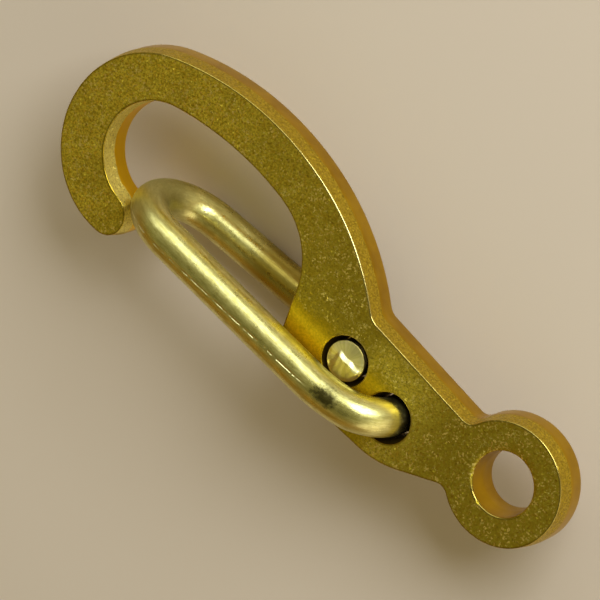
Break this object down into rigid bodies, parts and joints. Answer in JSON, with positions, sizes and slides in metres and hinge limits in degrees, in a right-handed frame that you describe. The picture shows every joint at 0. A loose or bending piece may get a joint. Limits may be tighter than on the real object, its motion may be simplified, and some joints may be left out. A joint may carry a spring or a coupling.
{
  "type": "snap hook keyring",
  "caption": "Small flat brass snap hook with a round eye and a sprung gate bent from one length of wire.",
  "frame": {"origin": "bottom centre of the bounding box, with the plate level and the gate's back leg lowest", "axes": "+X along the hook from the eye to the bow, +Y to the mouth and gate side, +Z out of the plate's front face"},
  "size_m": [0.042, 0.0146, 0.0091],
  "materials": {
    "stamped_brass": "tumbled, fine satin grain",
    "drawn_brass": "polished"
  },
  "bodies": {
    "hook_frame": {"hook_plate": "stamped_brass"},
    "gate_front": {"gate_front_leg": "drawn_brass"},
    "gate_back": {"gate_back_leg": "drawn_brass"}
  },
  "joints": [
    {"name": "gate_swing", "type": "hinge", "parent": "hook_frame", "child": "gate_front", "pos_m": [-0.00841, 0.00227, 0.00495], "axis": [0, 0, -1], "range_deg": [0, 14], "stiffness_Nm_per_rad": 0.3, "springref_deg": -5.73},
    {"name": "gate_flex", "type": "hinge", "parent": "gate_front", "child": "gate_back", "pos_m": [0.01275, 0.00323, 0.00495], "axis": [0, 0, -1], "range_deg": [0, 3.7]}
  ],
  "couplings": [
    {"joint": "gate_flex", "follows": "gate_swing", "ratio": 0.2547}
  ]
}
